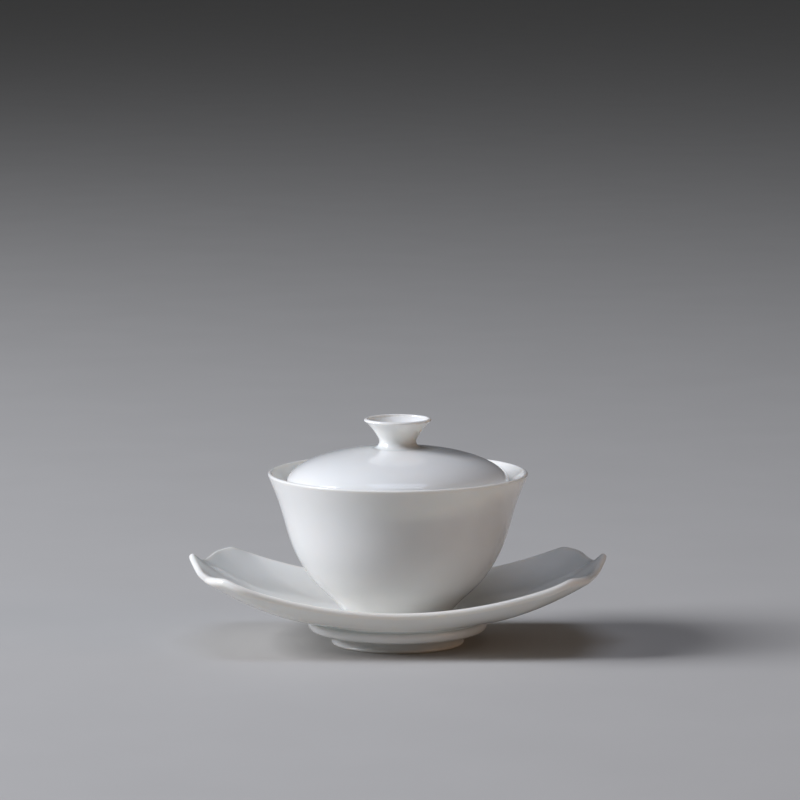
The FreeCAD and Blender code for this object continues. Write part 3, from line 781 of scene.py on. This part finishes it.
# %% [markdown]
# The four finishes differ only a little. The bowl and the lid were dipped in the same bath. The saucer
# was pressed, so its glaze lies a little less evenly, and its foot ring was wiped and is duller.

# %% The finishes of this set
WHITE, COOL, WARM, BISCUIT = "#F1F0EC", "#DDE3E1", "#F3EEE4", "#E4DCCD"

bowl_glaze = porcelain("clear_glaze_on_bowl", WHITE, COOL, WARM, BISCUIT, gloss=0.075, waver=0.045)
lid_glaze = porcelain("clear_glaze_on_lid", WHITE, COOL, WARM, BISCUIT, gloss=0.085, waver=0.040)
saucer_glaze = porcelain("clear_glaze_on_saucer", WHITE, COOL, WARM, BISCUIT, gloss=0.10, waver=0.060)
foot_glaze = porcelain("wiped_glaze_on_foot_ring", WHITE, COOL, WARM, BISCUIT, gloss=0.16, waver=0.050)

for piece, finish in ((bowl_piece, bowl_glaze), (lid_piece, lid_glaze), (knob_piece, lid_glaze),
                      (plate_piece, saucer_glaze), (ring_piece, foot_glaze)):
    piece.data.materials.append(finish)

# %% [markdown]
# ## The floor
#
# The set stands on a plain pale studio floor. A large disc would do, but a mesh grid keeps its shading
# even, so it is made as one wide square with a few cuts. Its paint is matt, with a very faint mottle.

# %% Floor
FLOOR_HALF_SIZE = 6.0
FLOOR_CUTS = 12
MOTTLE_MM = 60
PAINT, PAINT_WORN = "#B9B7B3", "#BFBDB9"

ticks = [FLOOR_HALF_SIZE * (2 * k / FLOOR_CUTS - 1) for k in range(FLOOR_CUTS + 1)]
floor_mesh = bpy.data.meshes.new("studio_floor")
row = FLOOR_CUTS + 1
floor_mesh.from_pydata([(x, y, 0.0) for y in ticks for x in ticks], [],
                       [(j * row + i, j * row + i + 1, (j + 1) * row + i + 1, (j + 1) * row + i)
                        for j in range(FLOOR_CUTS) for i in range(FLOOR_CUTS)])
floor_piece = bpy.data.objects.new("studio_floor", floor_mesh)
bpy.context.scene.collection.objects.link(floor_piece)
floor_piece.location.z = cad_low.z

paint = bpy.data.materials.new("matt_floor_paint")
paint.use_nodes = True
paint.node_tree.nodes.clear()
floor_place = add(paint.node_tree, "ShaderNodeTexCoord").outputs["Object"]
mottle = add(paint.node_tree, "ShaderNodeTexNoise",
             {"Vector": floor_place, "Scale": per_metre(MOTTLE_MM), "Detail": 4})
paint_tint = add(paint.node_tree, "ShaderNodeMix",
                 {0: mottle.outputs["Fac"], FIRST: colour(PAINT), SECOND: colour(PAINT_WORN)},
                 data_type="RGBA")
paint_surface = add(paint.node_tree, "ShaderNodeBsdfPrincipled",
                    {"Base Color": paint_tint.outputs[MIXED], "Roughness": 0.7, "Specular IOR Level": 0.25})
add(paint.node_tree, "ShaderNodeOutputMaterial", {"Surface": paint_surface.outputs["BSDF"]})
floor_piece.data.materials.append(paint)
print("the floor is", 2 * FLOOR_HALF_SIZE, "m wide")
floor_piece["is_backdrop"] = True

# %% [markdown]
# ## Light
#
# Porcelain shows its shape by how light falls off over it. A soft window high on the left lights the lid
# and the near left of the bowl. A dimmer, bluish skylight overhead draws the lips and the rim. The right
# side is left dark enough to turn, with only a weak warm wall. The rest is a dim grey room.

# %% Lights
TARGET = Vector((0, 0, 0.045))


def panel(name, place, width, height, watts, hex_value):
    """A soft rectangular light that faces the set and isn't seen itself."""
    light = bpy.data.lights.new(name, "AREA")
    light.shape = "RECTANGLE"
    light.size, light.size_y = width, height
    light.energy = watts
    light.color = colour(hex_value)[:3]
    lamp = bpy.data.objects.new(name, light)
    bpy.context.scene.collection.objects.link(lamp)
    lamp.location = place
    lamp.rotation_euler = (TARGET - Vector(place)).to_track_quat("-Z", "Y").to_euler()
    lamp.visible_camera = False
    print(name, "gives", watts, "W from", round((Vector(place) - TARGET).length, 2), "m away")
    return lamp


panel("window", (-2.08, -0.26, 1.29), 0.96, 1.28, 74.0, "#F2F5FF")
panel("skylight", (0.00, -0.20, 1.50), 0.9, 0.6, 4.6, "#DDE8FF")
panel("warm_wall", (1.15, -0.50, 0.40), 0.7, 0.7, 1.5, "#FFCB9C")
ROOM_COLOUR, ROOM_STRENGTH = "#C9CBCF", 0.10

room = bpy.data.worlds.new("dim_room")
bpy.context.scene.world = room
room.use_nodes = True
room.node_tree.nodes["Background"].inputs["Color"].default_value = colour(ROOM_COLOUR)
room.node_tree.nodes["Background"].inputs["Strength"].default_value = ROOM_STRENGTH
bpy.context.scene.view_settings.view_transform = "Standard"

# %% [markdown]
# ## Camera
#
# The set is seen from a little above the lip, from far enough away that the saucer's two ends look
# alike: a long lens, about 1.7 m back.

# %% Camera
CAMERA_PLACE = (0.0008, -1.680, 0.304)
CAMERA_DIP = 7.27                    # degrees below level
CAMERA_LENS = 209.0                  # mm, on a 36 mm sensor

camera_data = bpy.data.cameras.new("camera")
camera_data.lens = CAMERA_LENS
camera_data.sensor_width = 36.0
camera_data.clip_end = 50.0
camera = bpy.data.objects.new("camera", camera_data)
bpy.context.scene.collection.objects.link(camera)
camera.location = CAMERA_PLACE
camera.rotation_euler = (math.radians(90 - CAMERA_DIP), 0, 0)
bpy.context.scene.camera = camera
print("the camera is", round((camera.location - TARGET).length, 3), "m from the set")

# %% [markdown]
# ## Check the size and finish
#
# The finished pieces have to fill the same box as the measured solids, so the difference at each corner of
# the two boxes is printed.

# %% Finish
low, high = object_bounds()
for name, cad, made in (("low", cad_low, low), ("high", cad_high, high)):
    print(name, "corner differs by", [round((b - a) * 1000, 3) for a, b in zip(cad, made)], "mm")
